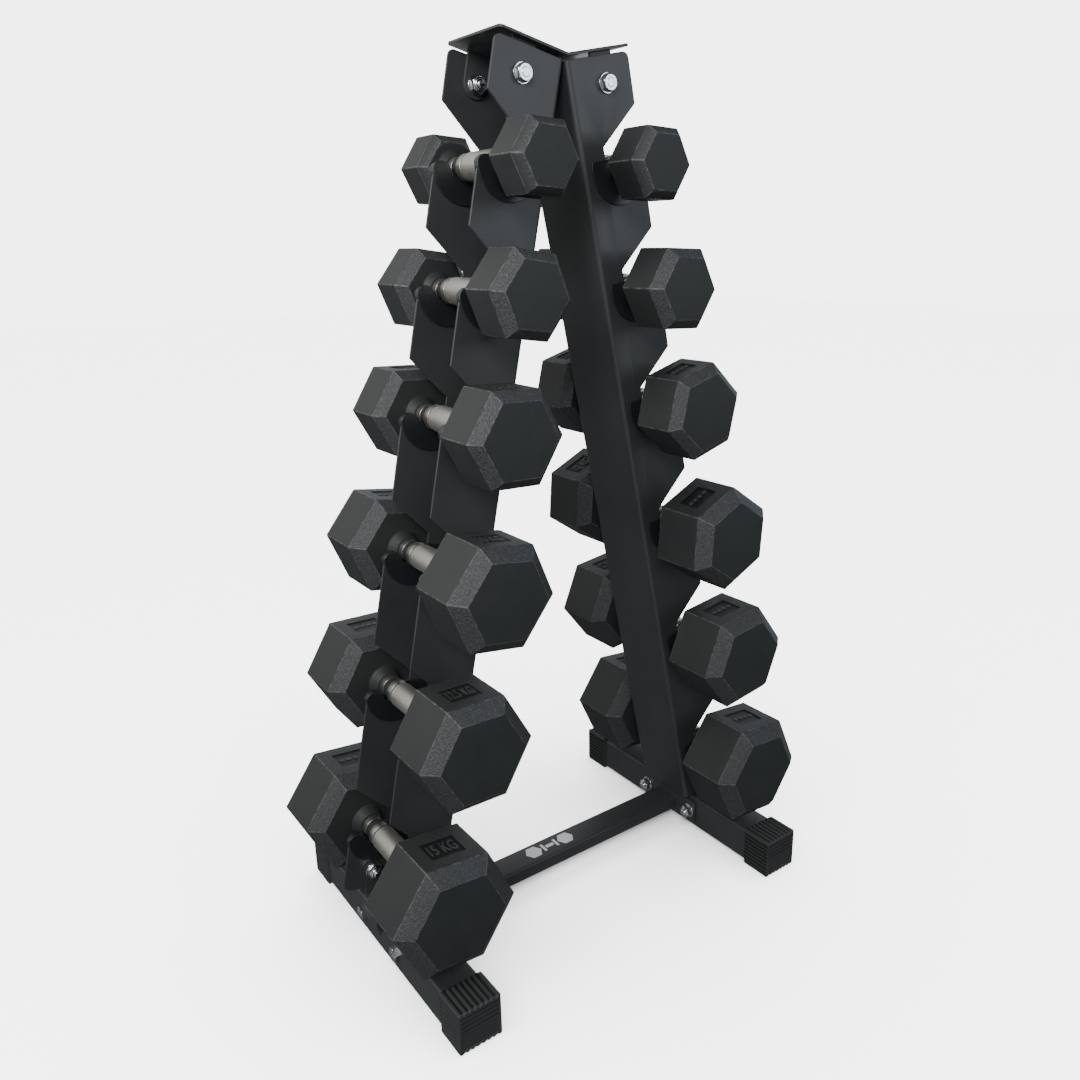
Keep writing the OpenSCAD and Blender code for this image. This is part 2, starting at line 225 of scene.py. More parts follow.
iron, t, shader = surface("raw_cast_iron", Metallic=0.9)
place = add(t, "TexCoord").outputs["Object"]
sand = add(t, "TexNoise", {"Vector": place, "Scale": 700.0, "Detail": 5.0})              # about 1.4 mm
bump = add(t, "Bump", {"Height": sand.outputs["Fac"], "Strength": 0.6, "Distance": 0.0004})
rough = add(t, "MapRange", {"Value": sand.outputs["Fac"], "To Min": 0.5, "To Max": 0.75})
t.links.new(rough.outputs["Result"], shader.inputs["Roughness"])
t.links.new(blend_colours(t, sand.outputs["Fac"], "#3c3c3e", "#59585a"), shader.inputs["Base Color"])
t.links.new(bump.outputs["Normal"], shader.inputs["Normal"])

print_ink, t, shader = surface("white_screen_print", IOR=1.5, Roughness=0.5)
place = add(t, "TexCoord").outputs["Object"]
wear = add(t, "TexNoise", {"Vector": place, "Scale": 500.0, "Detail": 3.0})              # about 2 mm
t.links.new(blend_colours(t, wear.outputs["Fac"], "#cfd1d2", "#eceded"), shader.inputs["Base Color"])
print("materials so far:", len(bpy.data.materials))

# %% [markdown]
# ## From arrays to a piece
# Every new surface is a grid of points with rows and columns. Neighbouring points make a quad, and
# the last column can join the first. One maker stacks any number of such grids into one mesh,
# merges the doubles at seams and poles, turns the faces outwards, and marks sharp edges by angle.

# %% Helpers for meshes
MM = 0.001


def grid(points, around=True, marks=0.0):
    """Quads between neighbours of a (rows, columns, 3) array in mm. around closes the last column."""
    rows, columns = points.shape[:2]
    i, j = np.meshgrid(np.arange(rows - 1), np.arange(columns - (0 if around else 1)), indexing="ij")
    k = (j + 1) % columns
    faces = np.stack([i * columns + j, i * columns + k, (i + 1) * columns + k, (i + 1) * columns + j], -1)
    marks = np.broadcast_to(marks, points.shape).reshape(-1, 3)
    return points.reshape(-1, 3), faces.reshape(-1, 4).tolist(), marks


def put(points, matrix):
    """Turns and shifts an array of points by a 4 x 4 matrix."""
    return points @ matrix[:3, :3].T + matrix[:3, 3]


def make_piece(name, parts, body, finish, stands_for, sharp=32):
    """Stacks (points, faces, marks) parts into one mesh that rides on a body and stands for a CAD node."""
    starts = np.cumsum([0] + [len(p[0]) for p in parts[:-1]])
    points = np.concatenate([p[0] for p in parts]) * MM
    faces = [[v + s for v in f] for p, s in zip(parts, starts.tolist()) for f in p[1]]
    mesh = bpy.data.meshes.new(name)
    mesh.from_pydata(points, [], faces)
    marks = mesh.attributes.new("marks", "FLOAT_VECTOR", "POINT")
    marks.data.foreach_set("vector", np.concatenate([p[2] for p in parts]).astype(np.float32).ravel())
    bm = bmesh.new()
    bm.from_mesh(mesh)
    bmesh.ops.remove_doubles(bm, verts=bm.verts, dist=2e-6)
    bmesh.ops.recalc_face_normals(bm, faces=bm.faces)
    bm.to_mesh(mesh)
    bm.free()
    mesh.shade_smooth()
    mesh.set_sharp_from_angle(angle=math.radians(sharp))
    mesh.materials.append(finish)
    piece = bpy.data.objects.new(name, mesh)
    bpy.context.scene.collection.objects.link(piece)
    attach(piece, body)
    if stands_for:
        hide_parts(stands_for)
    return piece


def rounded(corners, radii, steps=4):
    """A polyline with corners turned to arcs, each touching its legs at radius / tan(half the corner)."""
    corners = np.asarray(corners, float)
    path = [corners[0]]
    for a, b, c, r in zip(corners[:-2], corners[1:-1], corners[2:], radii):
        u, w = (a - b) / np.linalg.norm(a - b), (c - b) / np.linalg.norm(c - b)
        half = math.acos(np.clip(u @ w, -1, 1)) / 2
        if r == 0 or half > 1.56:
            path.append(b)
            continue
        middle = b + (u + w) / np.linalg.norm(u + w) * r / math.sin(half)
        p, q = b + u * r / math.tan(half) - middle, b + w * r / math.tan(half) - middle
        turn = math.acos(np.clip(p @ q / r ** 2, -1, 1))
        s = np.linspace(0, 1, steps + 1)[:, None]
        path.extend(middle + (np.sin((1 - s) * turn) * p + np.sin(s * turn) * q) / math.sin(turn))
    return np.array(path + [corners[-1]])


def turned(profile, steps=48):
    """A profile of (place along, radius) rows carried round the Y axis, as on a lathe."""
    a = np.linspace(0, 2 * np.pi, steps, endpoint=False)
    along, r = profile[:, :1], profile[:, 1:]
    return np.stack([r * np.cos(a), along + 0 * a, r * np.sin(a)], -1)


print("a square corner of radius 2 becomes", len(rounded([[0, 0], [10, 0], [10, 10]], [2])), "points")

# %% [markdown]
# ## Where things stand
# A leaning channel has its own frame: depth out from its web, across, and up its length. Each
# dumbbell has one too: X across, Y along its handle, Z up through its top flat. Two functions give
# these as matrices, so a bolt or a head is drawn once and then placed.

# %% Frames of the channels and of the dumbbells
LEAN = math.radians(12)
FOOT_X, FOOT_Z = 213.5, 52.0
SEAT_DEPTH = 51.3
SEAT_HEIGHT = [904.5, 767, 619.5, 451.5, 273, 80]
ROLL = {-1: [-3, -8, -2, -8, -1, -5], 1: [-2, -2, 17, 26, 8, -5]}
SHIFT = {-1: [1, 0, 0, 0, 4, 2], 1: [-4, -4, -2, -3, 0, 3]}
SIDES = {-1: "left", 1: "right"}


def channel_frame(side):
    """Depth leans outwards and up, length leans inwards and up; side is -1 on the left and 1 on the right."""
    s, c = math.sin(LEAN), math.cos(LEAN)
    return np.array([[side * c, 0, -side * s, side * FOOT_X], [0, 1, 0, 0],
                     [s, 0, c, FOOT_Z], [0, 0, 0, 1.0]])


def dumbbell_frame(side, row):
    """The cradle's seat, turned about the handle by that dumbbell's roll."""
    x, _, z = put(np.array([SEAT_DEPTH, 0, SEAT_HEIGHT[row]]), channel_frame(side))
    a = math.radians(ROLL[side][row])
    return np.array([[math.cos(a), 0, -math.sin(a), x], [0, 1, 0, SHIFT[side][row]],
                     [math.sin(a), 0, math.cos(a), z], [0, 0, 0, 1.0]])


print("top left seat:", np.round(dumbbell_frame(-1, 0)[:3, 3], 1), "mm")

# %% [markdown]
# ## Steel with soft edges
# The engineering model of the folded and welded steel is right in shape, but its edges are perfect
# knives, and no coated edge is. A bevel on the same shape is the quickest true fix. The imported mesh
# is loose triangles, so a copy is merged and its flat faces are dissolved to single polygons first,
# and a Bevel modifier then rounds only edges that turn more than 35 degrees.

# %% Rails, crossbar, brackets, channels and liners with rounded edges
def soften(name, node, radius, finish):
    """A merged copy of a CAD node with every sharp edge rounded to a radius in mm."""
    mesh = nodes[node].data.copy()
    bm = bmesh.new()
    bm.from_mesh(mesh)
    bmesh.ops.remove_doubles(bm, verts=bm.verts, dist=1e-6)
    bmesh.ops.dissolve_limit(bm, angle_limit=math.radians(1), verts=bm.verts, edges=bm.edges)
    bm.to_mesh(mesh)
    bm.free()
    mesh.name = name
    mesh.materials.clear()
    mesh.materials.append(finish)
    mesh.shade_smooth()
    mesh.set_sharp_from_angle(angle=math.radians(35))
    piece = bpy.data.objects.new(name, mesh)
    bpy.context.scene.collection.objects.link(piece)
    bevel = piece.modifiers.new("soft_edges", "BEVEL")
    bevel.width, bevel.segments, bevel.limit_method = radius * MM, 2, "ANGLE"
    bevel.angle_limit, bevel.harden_normals, bevel.miter_outer = math.radians(35), True, "MITER_ARC"
    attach(piece, "rack")
    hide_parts(node)
    return piece


for side in ("left", "right"):
    soften(f"rail_{side}", f"base_rail_{side}", 0.4, coat)
    soften(f"foot_plate_{side}", f"foot_bracket_{side}", 0.4, coat)
    soften(f"channel_{side}", f"upright_{side}", 0.5, coat)
    soften(f"liners_{side}", f"cradle_liners_{side}", 0.7, liner_plastic)
soften("cross_tube", "crossbar", 0.4, coat)
soften("crown_bracket", "top_bracket", 0.5, coat)

# %% [markdown]
# ## Dumbbell heads
# A head is a hexagonal prism with a sloping band at each end, a cone that meets the handle, and a
# shallow label pocket on its top flat. It could be cut from solids, but a grid gives rounded edges
# for free: a rounded hexagon is carried along a rounded profile, and the pocket is pressed into the
# columns and rows that were placed on its edges.

# %% A rounded hexagon and the head built from it
HEAD = dict(
    flats=[74.5, 90, 104, 117, 124, 136], face=[58, 69, 82, 88, 94, 101],
    band=[10.5, 12.5, 11, 15, 14.5, 14], inner=[67.5, 68, 71, 72.5, 73, 74],
    outer=[128, 139, 149, 169.5, 170.5, 172.5])
POCKET = 1.5                      # depth of a label pocket
CORNER = 1.8                      # radius of a corner that runs along a head
FACE_TO_CORNER = math.tan(math.radians(30))


def hexagon(apothem, corner, steps):
    """Hexagons with a flat on top: arcs about the corners of a smaller one, and sides cut at steps."""
    a, r = apothem[:, None, None], corner[:, None, None]
    at = np.radians(np.arange(0, 360, 60))[None, :, None]
    turn = at + np.radians(np.linspace(-30, 30, 7))
    reach = (a - r) / math.cos(math.radians(30))
    arcs = np.stack([reach * np.cos(at) + r * np.cos(turn), reach * np.sin(at) + r * np.sin(turn)], -1)
    first, last = np.roll(arcs[:, :, :1], -1, axis=1), arcs[:, :, -1:]
    sides = last + (first - last) * np.asarray(steps)[:, None]
    return np.concatenate([arcs, sides], 2)


def head(row, toward):
    """One head in its dumbbell's frame. toward is -1 at the front end and 1 at the back."""
    flats, face, band, inner, outer = (HEAD[k][row] for k in ("flats", "face", "band", "inner", "outer"))
    half_x, half_y = 0.16 * flats, 0.25 * (outer - inner - 2 * band)
    middle = (inner + outer) / 2
    stops = [middle - half_y, middle - half_y + 0.5, middle + half_y - 0.5, middle + half_y]
    corners = [(61.2, 0), (61.2, 15.2), (inner, 21), (inner, face / 2), (inner + band, flats / 2),
               *[(y, flats / 2) for y in stops],
               (outer - band, flats / 2), (outer, face / 2), (outer, 0)]
    path = rounded(corners, [1.2, 3, 1.6, 1.8, 0, 0, 0, 0, 1.8, 1.6])
    y, a = path[:, 0], path[:, 1]
    round_part = (y < inner + 0.01) & (a < 30)
    corner = np.where(round_part, 0.97 * a, np.minimum(CORNER, 0.97 * a))
    flat_half = (flats / 2 - CORNER) * FACE_TO_CORNER
    x_stops = np.array([-half_x, -half_x + 0.5, half_x - 0.5, half_x])
    xz = hexagon(a, corner, (x_stops / flat_half + 1) / 2)
    points = np.stack([xz[..., 0], np.broadcast_to(y[:, None, None], xz.shape[:3]), xz[..., 1]], -1)
    inside = (y > stops[0] + 0.1) & (y < stops[3] - 0.1) & (a > flats / 2 - 0.01)
    pressed = points[:, 1, 8:10]                      # the two inner columns of the top flat
    pressed[inside, :, 2] -= POCKET
    leg = np.diff(path, axis=0)
    heading = np.degrees(np.unwrap(np.arctan2(leg[:, 1], leg[:, 0])))
    turn = np.abs(np.diff(heading, prepend=heading[0], append=heading[-1]))
    between = (y > inner + 0.05) & (y < outer - 0.05)
    marks = np.zeros((len(y), xz.shape[1], xz.shape[2], 3))
    marks[between & (a < flats / 2 - 0.4), ..., 0] = 1                     # the sloping bands
    # Corner mark: a paler tone, partly rub wear, partly painted highlight.
    marks[(turn > 7) & (turn < 20) & (a > face / 2 - 2), ..., 1] = 1       # corners that run round the head
    marks[between, :, 1:6, 1] = 1                                          # corners that run along it
    # Pocket mark: the floor is painted near black, as painted shade.
    marks[inside, 1, 8:10, 2] = 1                                          # the pocket's floor
    points, marks = points.reshape(len(y), -1, 3), marks.reshape(len(y), -1, 3)
    points[..., 1] *= toward
    return grid(points, marks=marks), (half_x, half_y, toward * middle, flats / 2)


print("one head has", len(head(5, -1)[0][1]), "faces")

# %% [markdown]
# ## Raised figures in the label pockets
# The pocket carries raised moulded characters: the mass at the front end and a row of plain
# hexagon pads at the back. The mass is real text, so it stays readable; it is turned to a mesh at
# once, before it is placed, and stretched to a heavy, narrow block letter.

# %% Text and pads as mesh parts
def lettering(words, width, height, thick, centre, matrix):
    """Block letters of a width and height in mm, standing thick above the pocket floor at centre."""
    curve = bpy.data.curves.new("words", "FONT")
    curve.body, curve.extrude, curve.offset, curve.resolution_u = words, 0.5, 0.02, 3
    o = bpy.data.objects.new("words", curve)
    bpy.context.scene.collection.objects.link(o)
    mesh = o.evaluated_get(bpy.context.evaluated_depsgraph_get()).to_mesh()
    p = np.zeros(len(mesh.vertices) * 3)
    mesh.vertices.foreach_get("co", p)
    faces = [list(f.vertices) for f in mesh.polygons]
    bpy.data.objects.remove(o)
    p = p.reshape(-1, 3)
    low, size = p.min(0), np.ptp(p, axis=0)
    p = (p - low) / size * [width, height, thick] - [width / 2, height / 2, 0] + centre
    # Letter tops take the corner mark at 0.3 (rub wear and painted highlight); lower points take the pocket
    # mark (painted shade).
    return put(p, matrix), faces, np.where(p[:, 2:] > centre[2] + 0.1, [0, 0.3, 0], [0, 0, 1])


def pad(radius, thick, centre, matrix):
    """A low hexagon with a sloping rim: rings at the foot, the shoulder and the middle of the top."""
    a = np.radians(np.arange(0, 360, 60))
    rings = [(0, 0), (radius, 0), (radius, thick * 0.6), (radius * 0.85, thick), (0, thick)]
    p = np.array([[(r * math.cos(v), r * math.sin(v), z) for v in a] for r, z in rings])
    # Pads take the corner mark at 0.3: rub wear and painted highlight.
    return grid(put(p + centre, matrix), marks=[0, 0.3, 0])


MASSES = ["2.5 KG", "5 KG", "7.5 KG", "10 KG", "12.5 KG", "15 KG"]


def dumbbell_rubber(side, row):
    """Both heads, their raised figures, and the two bands that sleeve the handle."""
    matrix, parts = dumbbell_frame(side, row), []
    for toward in (-1, 1):
        (points, faces, marks), (half_x, half_y, y, top) = head(row, toward)
        parts.append((put(points, matrix), faces, marks))
        floor = np.array([0, y, top - POCKET - 0.05])
        if (toward == -1) == (side == -1):
            parts.append(lettering(MASSES[row], 1.6 * half_x, 1.15 * half_y, POCKET - 0.3, floor, matrix))
        else:
            for k in (-1.5, -0.5, 0.5, 1.5):
                parts.append(pad(0.19 * half_x, POCKET - 0.3, floor + [k * 0.44 * half_x, 0, 0], matrix))
        sleeve = rounded([(40.2, 0), (40.2, 12.8), (50.8, 12.8), (50.8, 0)], [0.8, 0.8]) * [toward, 1]
        parts.append(grid(put(turned(sleeve), matrix)))
    name = f"{SIDES[side]}_{row + 1}"
    return make_piece(f"heads_{name}", parts, f"dumbbell_{name}", rubber, f"{name}_rubber")


for side in (-1, 1):
    for row in range(6):
        piece = dumbbell_rubber(side, row)
print("made 24 heads; the last piece has", len(piece.data.polygons), "faces")

# %% [markdown]
# ## Knurled handles
# The handle is one turned bar with a diamond knurl on the grip. Rolling tools press two crossing
# sets of grooves, so the height at any point is the lower of two triangle waves that run along
# opposite spirals. Diamonds are 2.5 mm wide and 4.3 mm long, the usual coarse size.

# %% Turned bars with a diamond knurl
GRIP, BAR, COLLAR = 16, 11, 15    # radii of the grip, of the bare bar and of the outer collar
DIAMONDS, DIAMOND_LENGTH, KNURL_DEPTH = 40, 4.3, 0.32
STEPS = 160                       # points round the bar


def handle(side, row):
    """A lathe profile from tip to tip; on the grip the radius drops by the knurl's grooves."""
    tip = HEAD["inner"][row] + 34
    end = rounded([(23, GRIP), (26, 15.4), (26, 13), (28.5, 13), (28.5, COLLAR), (39, COLLAR), (39, BAR),
                   (51, BAR), (51, 13.1), (61, 13.1), (61, BAR), (tip, BAR), (tip, 0)],
                  [0.5, 0.5, 0.3, 0.3, 1.2, 1.2, 0.3, 0.3, 0.9, 0.9, 0.3, 1], 4)
    grip = np.linspace(-23, 23, 45)
    profile = np.concatenate([end[::-1] * [-1, 1], np.stack([grip, grip * 0 + GRIP], 1)[1:-1], end])
    points = turned(profile, STEPS)
    wave = lambda v: 2 * np.abs(v - np.round(v))
    turn = np.linspace(0, DIAMONDS, STEPS, endpoint=False)[None, :]
    along = profile[:, :1] / DIAMOND_LENGTH
    depth = KNURL_DEPTH * (1 - np.minimum(wave(turn + along), wave(turn - along)))
    on_grip = (np.abs(profile[:, :1]) < 22.5) * depth
    scale = 1 - on_grip / np.maximum(profile[:, 1:], 1)
    points[..., 0] *= scale
    points[..., 2] *= scale
    name = f"{SIDES[side]}_{row + 1}"
    satin = (np.abs(profile[:, :1, None]) < 26) * [1.0, 0, 0] * np.ones((1, STEPS, 1))
    return make_piece(f"bar_{name}", [grid(put(points, dumbbell_frame(side, row)), marks=satin)],
                      f"dumbbell_{name}", chrome, f"{name}_handle", sharp=50)


for side in (-1, 1):
    for row in range(6):
        piece = handle(side, row)
        nodes[f"{SIDES[side]}_{row + 1}_cores"].data.materials.clear()
        nodes[f"{SIDES[side]}_{row + 1}_cores"].data.materials.append(iron)
print("made 12 handles of", len(piece.data.polygons), "faces")

# %% [markdown]
# ## Bolts, washers and lock nuts
# Twelve M10 bolts hold the frame. A hex head starts as a hexagon and is turned to a 30 degree
# chamfer, so its outline at any height is the smaller of the hexagon and a cone. The thread is a
# triangle wave of 1.5 mm pitch that climbs once per turn. Each lock nut has a domed collar.

# %% Fastener shapes along Z
TURN = np.linspace(0, 2 * np.pi, 72, endpoint=False)


def along_z(z, radius):
    """Rings at heights z with a radius for every angle."""
    radius = np.broadcast_to(radius, (len(z), len(TURN)))
    z = np.broadcast_to(z[:, None], radius.shape)
    return np.stack([radius * np.cos(TURN), radius * np.sin(TURN), z], -1)


def hex_block(z0, z1, low_cut, high_cut, flats=17.0):
    """A hexagon limited by a 30 degree cone at the ends that are cut, closed by flat ends."""
    cut = np.array([0, 0.15, 0.3, 0.5, 0.75, 1.1])
    z = np.concatenate([[z0], z0 + cut, z1 - cut[::-1], [z1]])
    six = flats / 2 / np.cos((TURN % (np.pi / 3)) - np.pi / 6)
    room = np.minimum((z - z0) if low_cut else 99.0, (z1 - z) if high_cut else 99.0)
    radius = np.minimum(six[None, :], (flats * 0.475 + room * math.sqrt(3))[:, None])
    radius[[0, -1]] = 0
    return along_z(z, radius)


def rings(profile):
    """A (height, radius) profile turned about Z."""
    profile = np.asarray(profile, float)
    return along_z(profile[:, 0], profile[:, 1:])


def bolt(reach):
    """A hex head below zero with a raised disc, a plain shank, and 18 mm of thread."""
    z = np.linspace(max(reach - 18, 0.5), reach - 0.8, 70)
    climb = z[:, None] / 1.5 - TURN[None, :] / (2 * np.pi)
    thread = 5 - 0.55 * 2 * np.abs(climb - np.round(climb))
    ends = [np.zeros((1, 72)), np.full((1, 72), 4.7), thread, np.full((1, 72), 4.0), np.zeros((1, 72))]
    heights = np.concatenate([[-1, -1], z, [reach, reach]])
    disc = rounded([(-6.2, 0), (-7, 0), (-7, 4.6), (-6.2, 5.8), (-6.2, 0)], [0, 0.5, 0.2])
    return [hex_block(0, 6.5, False, True) * [1, -1, -1], along_z(heights, np.concatenate(ends)), rings(disc)]


def washer():
    """A flat ring with rounded rims, closed on itself through its hole."""
    return [rings(rounded([(1, 5.3), (0, 5.3), (0, 11), (2, 11), (2, 5.3), (1, 5.3)], [0.2, 0.4, 0.5, 0.2]))]


def lock_nut():
    """A double-chamfered hexagon with a domed collar."""
    collar = rounded([(7, 0), (7, 7.6), (9.9, 7.3), (10, 4.9), (9.2, 4.9), (9.2, 0)], [0, 1.6, 0.3, 0.2])
    return [hex_block(0, 8, True, True), rings(collar)]


print("a bolt head has", hex_block(0, 6.5, False, True).size // 3, "points")

# %% Place the fasteners
def frame_at(origin, z_axis, x_axis):
    """A matrix from an origin, the direction of Z and the direction of X."""
    z, x = np.asarray(z_axis, float), np.asarray(x_axis, float)
    m = np.eye(4)
    m[:3, 0], m[:3, 1], m[:3, 2], m[:3, 3] = x, np.cross(z, x), z, origin
    return m


def channel_joints(height, depth):
    """Both bolts of both channels at one height, from the outer face inwards along Y."""
    found = []
    for side in (-1, 1):
        c = channel_frame(side)
        for end in (-1, 1):
            origin = put(np.array([SEAT_DEPTH, end * (49 - depth), height]), c)
            found.append(frame_at(origin, (0, -end, 0), c[:3, 0]))
    return found


def rail_joints(depth):
    """The four crossbar bolts, from the outer wall of each rail inwards along X."""
    return [frame_at((side * (275 - depth), y, 28), (-side, 0, 0), (0, 0, 1))
            for side in (-1, 1) for y in (-47.5, 47.5)]


def fasten(name, shapes, places):
    """A fastener's shapes at each place, each turned a little differently, as a spanner leaves them."""
    parts = []
    for k, m in enumerate(places):
        a = math.radians((37 * k + 11) % 60)
        spin = np.array([[math.cos(a), -math.sin(a), 0, 0], [math.sin(a), math.cos(a), 0, 0],
                         [0, 0, 1, 0], [0, 0, 0, 1.0]])
        parts += [grid(put(s, m @ spin)) for s in shapes]
    return make_piece(f"zinc_{name}", parts, "rack", zinc, name, sharp=25)


for where, height in (("top", 994), ("foot", 26)):
    fasten(f"{where}_bolts", bolt(22), channel_joints(height, -2))
    fasten(f"{where}_washers", washer(), channel_joints(height, -2) + channel_joints(height, 6))
    fasten(f"{where}_nuts", lock_nut(), channel_joints(height, 8))
fasten("base_bolts", bolt(68), rail_joints(0))
fasten("base_washers", washer(), rail_joints(54))
fasten("base_nuts", lock_nut(), rail_joints(56))

# %% [markdown]
# ## Ribbed rubber feet
# Each rail end wears a moulded cap. Its sides have nine ribs that run back from smooth corner
# posts, its top and underside have eight rounded ridges that turn down over the front edge, and its
# face has four slots over a framed panel. The box is a grid on six faces. Points are clamped to a
# smaller box and pushed out by a fixed radius, which rounds every edge, and a depth function then
# presses the grooves in. The floors of the deepest grooves are painted near black, as painted shade.

# %% End caps
def cap(side, end):
    """A rounded box with pressed grooves. The depth is read from the box's own coordinates."""
    half = np.array([28.0, 22.25, 28.0])
    centre = np.array([side * 250.0, end * (200 - 15.75), 28.0])
    rib_at, ridge_at = np.linspace(-21, 21, 8), np.linspace(-21, 21, 7)
    slot_at = rib_at[-4:]
    lips = lambda at, *offsets: (at[:, None] + np.array([*offsets, *(-v for v in offsets)])).ravel()
    rib, ridge = lips(rib_at, 1.2, 1.5, 2), lips(ridge_at, 0.5, 1.1, 1.8, 2.6)
    slot_z = lips(slot_at, 0.55, 0.8)
    edge = np.array([28, 27.6, 27, 26.2, 25, 24])
    xs = np.unique(np.round(np.concatenate([ridge, edge, -edge, np.linspace(-22, 22, 9)]), 3))
    zs = np.unique(np.round(np.concatenate([rib, slot_z, edge, -edge, [-23.6, -22.8, -1.4, -0.6]]), 3))
    ys = np.concatenate([edge - 5.75, 5.75 - edge, [17, 19.9, 20.6], np.linspace(-15, 12, 7)])
    ys = np.unique(np.round(ys, 3))
    axes = [xs, ys, zs]
    groove = lambda v, at, a, b: np.sqrt(np.clip((b - np.abs(v[..., None] - at)) / (b - a), 0, 1)).max(-1)
    window = lambda v, lo, hi, soft: np.clip((v - lo) / soft, 0, 1) * np.clip((hi - v) / soft, 0, 1)
    radius, parts = 2.2, []
    for axis in range(3):
        u, w = [k for k in range(3) if k != axis]
        for sign in (-1, 1):
            p = np.zeros((len(axes[u]), len(axes[w]), 3))
            p[..., axis] = sign * half[axis]
            p[..., u], p[..., w] = np.meshgrid(axes[u], axes[w], indexing="ij")
            core = np.clip(p, -(half - radius), half - radius)
            out = p - core
            out = core + out / np.maximum(np.linalg.norm(out, axis=-1, keepdims=True), 1e-9) * radius
            x, y, z = p[..., 0], p[..., 1], p[..., 2]
            if axis == 0:
                deep = 2.6 * groove(z, rib_at, 1.2, 2) * window(y, -99, 21.6, 1.0)
            elif axis == 2:
                deep = 2.2 * groove(x, ridge_at, 0.5, 2.6)
            elif sign == 1:
                slots = 2 * groove(z, slot_at, 0.55, 0.8) * window(x, -25.5, 25.5, 1.0)
                panel = 0.9 * window(z, -23.6, -0.6, 0.8) * window(x, -24.5, 24.5, 1.0)
                ends = 1.6 * groove(x, ridge_at, 0.5, 2.6) * window(np.abs(z), 25, 99, 1.5)
                deep = np.maximum(slots + panel, ends)
            else:
                deep = 0 * x
            out[..., axis] -= sign * deep
            out[..., 1] *= end
            # Painted shade: the floors of grooves deeper than 1.25 mm are darkened through the third mark.
            dark = np.clip(2 * deep - 2.5, 0, 1)[..., None] * [0, 0, 1]
            parts.append(grid(out + centre, around=False, marks=dark))
    name = f"{SIDES[side]}_{'front' if end < 0 else 'back'}"
    return make_piece(f"foot_cap_{name}", parts, "rack", cap_rubber,
                      f"end_cap_{name}", sharp=40)


for side in (-1, 1):
    for end in (-1, 1):
        piece = cap(side, end)
print("each cap has", len(piece.data.polygons), "faces")

# %% [markdown]
# ## A printed mark on the crossbar
# The crossbar's top carries a white screen print. It is drawn here as a plain dumbbell sign: two
# hexagons, two collars and a bar, each a flat plate a tenth of a millimetre thick.

# %% White dumbbell sign
def plate(outline, low, high):
    """A closed flat plate: the outline's middle, foot, rim and top as four rings."""
    outline = np.asarray(outline, float)
    middle = np.broadcast_to(outline.mean(0), outline.shape)
    four = [(middle, low), (outline, low), (outline, high), (middle, high)]
    return grid(np.stack([np.column_stack([xy, np.full(len(xy), z)]) for xy, z in four]))


def box_outline(x0, x1, y0, y1):
    """Four corners, anticlockwise."""
    return [(x0, y0), (x1, y0), (x1, y1), (x0, y1)]


six = np.radians(np.arange(0, 360, 60))
ink = (37.95, 38.1)               # heights of the print's underside, just in the coat, and of its top
sign = [plate(np.column_stack([x + 13 * np.cos(six), 1.5 + 13 * np.sin(six)]), *ink) for x in (-35, 20)]
sign += [plate(box_outline(x, x + 4, -6.5, 9.5), *ink) for x in (-20, 1)]
sign += [plate(box_outline(-14, -1, -1.5, 4.5), *ink)]
make_piece("printed_sign", sign, "rack", print_ink, None)
print("printed sign of", len(sign), "plates")

# %% [markdown]
# ## Floor, light and camera
# The rack stands on a pale floor in a pale room. Black rubber shows its shape only by what it
# mirrors, so a bright square lamp stands where the sloping bands mirror it, at the left front, and
# two weaker ones fill from the left and the right front. Four wide suns stand in for windows and
# pale walls. The floor has a light of its own, so it stays pale without lighting the undersides.
# The camera is a 31 mm lens at chest height, a step to the left, looking slightly down.

# %% Floor
mesh = bpy.data.meshes.new("floor")
far = 12.0
corners = [(-far, -far, 0), (far, -far, 0), (far, far, 0), (-far, far, 0)]
mesh.from_pydata(corners, [], [(0, 1, 2, 3)])
floor = bpy.data.objects.new("floor", mesh)
bpy.context.scene.collection.objects.link(floor)
paper, t, shader = surface("pale_floor", Roughness=0.8)
shader.inputs["Base Color"].default_value = linear("#f4f4f4")
mesh.materials.append(paper)
floor.visible_diffuse = floor.visible_glossy = False
floor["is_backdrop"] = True

# %% Light and world
world = bpy.data.worlds.new("pale_room")
bpy.context.scene.world = world
world.use_nodes = True
t = world.node_tree
seen = add(t, "Background", {"Color": linear("#ffffff"), "Strength": 5.0})
shed = add(t, "Background", {"Color": linear("#e9f0f6"), "Strength": 0.2})
to_camera = add(t, "LightPath").outputs["Is Camera Ray"]
which = add(t, "MixShader", {0: to_camera, 1: shed.outputs[0], 2: seen.outputs[0]})
t.links.new(which.outputs[0], t.nodes["World Output"].inputs["Surface"])


def stand(o, axes, place):
    """Gives an object its three axes as unit vectors, and its place in metres."""
    rows = [[*row, p] for row, p in zip(np.stack(axes, 1).tolist(), place)]
    o.matrix_world = Matrix(rows + [[0, 0, 0, 1]])
    bpy.context.scene.collection.objects.link(o)


def softbox(name, place, aim, size, power, colour):
    """A square area light at a place that faces a point."""
    light = bpy.data.lights.new(name, "AREA")
    light.size, light.energy, light.color = size, power, linear(colour)[:3]
    o = bpy.data.objects.new(name, light)
    z = np.asarray(place, float) - np.asarray(aim, float)
    z /= np.linalg.norm(z)
    x = np.cross((0, 0, 1), z)
    x /= np.linalg.norm(x)
    o.visible_camera = False
    stand(o, (x, np.cross(z, x), z), place)
    return o


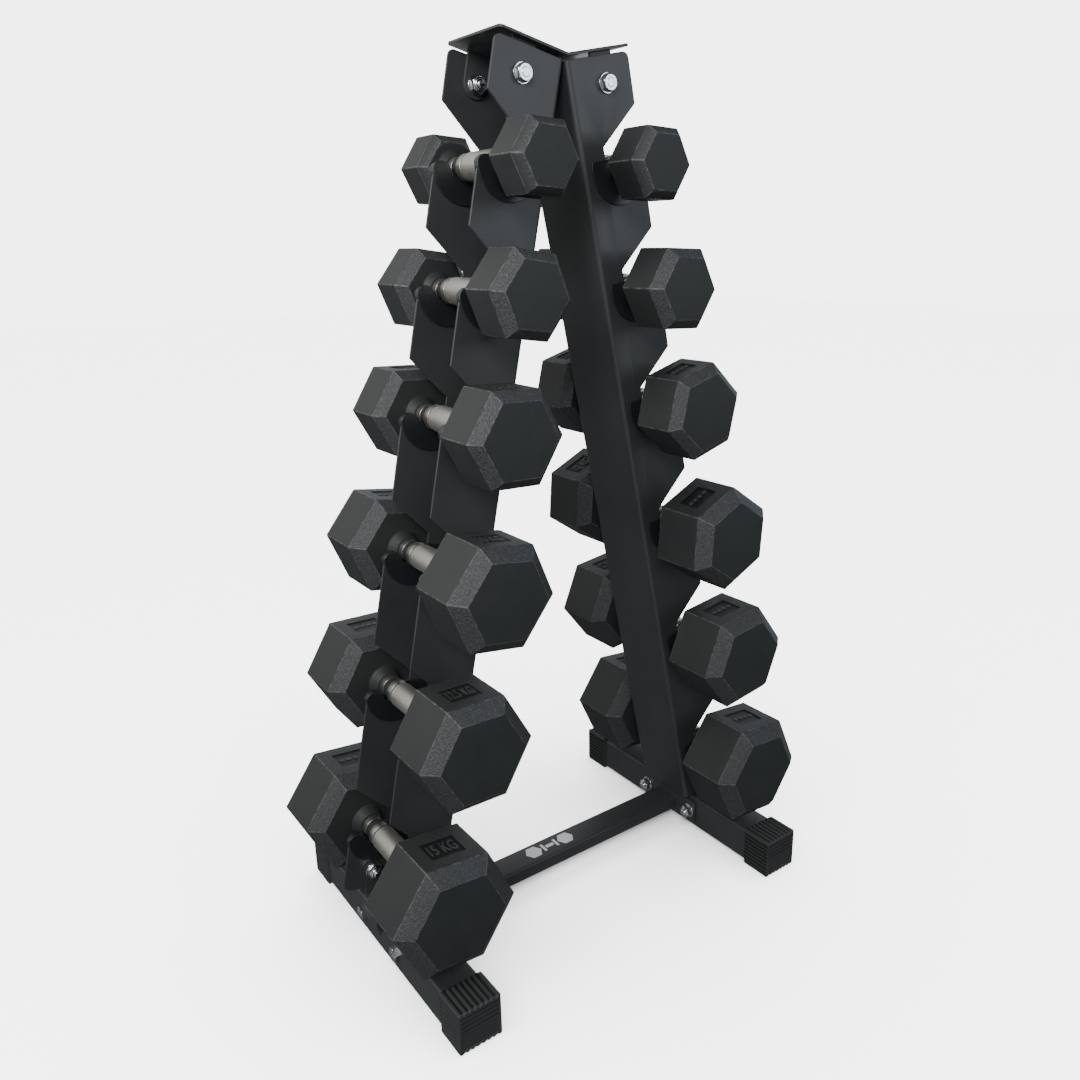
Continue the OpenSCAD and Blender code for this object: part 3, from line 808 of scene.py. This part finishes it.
def sunlight(name, toward, strength, spread, colour):
    """A sun of a wide angle, so its shadows are soft, that shines toward a direction."""
    light = bpy.data.lights.new(name, "SUN")
    light.energy, light.angle, light.color = strength, math.radians(spread), linear(colour)[:3]
    o = bpy.data.objects.new(name, light)
    z = -np.asarray(toward, float) / np.linalg.norm(toward)
    x = np.cross((0, 1, 0), z)
    x /= np.linalg.norm(x)
    stand(o, (x, np.cross(z, x), z), (0, 0, 0))
    return o


sunlight("window", (0.45, -0.8, -0.45), 0.8, 65, "#fffdf8")
sunlight("room", (0.8, 0.6, -0.02), 0.85, 100, "#fcfdff")
sunlight("right", (-1.0, -0.15, -0.12), 0.5, 50, "#e2eeff")
sunlight("rear", (-0.5, -0.85, -0.1), 1.0, 60, "#f4f8ff")
softbox("lamp", (-1.6, -1.75, 1.9), (-0.05, 0, 1.0), 0.9, 54, "#ffffff")
softbox("left", (-1.15, -0.15, 1.3), (-0.05, 0, 0.95), 0.5, 13, "#fffefa")
softbox("front", (1.8, -2.5, 1.5), (0, 0, 0.9), 1.3, 24, "#f0f6fc")
wash = sunlight("floor_wash", (0.05, 0.1, -1), 16.0, 100, "#ffffff")
lit = bpy.data.collections.new("lit_by_wash")
lit.objects.link(floor)
wash.light_linking.receiver_collection = lit
print("lights:", len(bpy.data.lights))

# %% Camera
azimuth, elevation, tilt = np.radians([-36.857, 17.253, -0.586])
level = math.cos(elevation)
back = np.array([math.sin(azimuth) * level, -math.cos(azimuth) * level, math.sin(elevation)])
right = np.array([math.cos(azimuth), math.sin(azimuth), 0])
up = np.cross(back, right)
across = math.cos(tilt) * right + math.sin(tilt) * up
upright = -math.sin(tilt) * right + math.cos(tilt) * up
lens = bpy.data.cameras.new("camera")
lens.lens, lens.sensor_width, lens.shift_x, lens.shift_y = 30.74, 36, -0.0335, -0.0055
camera = bpy.data.objects.new("camera", lens)
stand(camera, (across, upright, back), (-0.65475, -0.93354, 0.85958))
bpy.context.scene.camera = camera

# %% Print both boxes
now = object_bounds()
for name, box in (("CAD", cad_box), ("visual", now)):
    print(name, "box", [round(v, 4) for corner in box for v in corner])
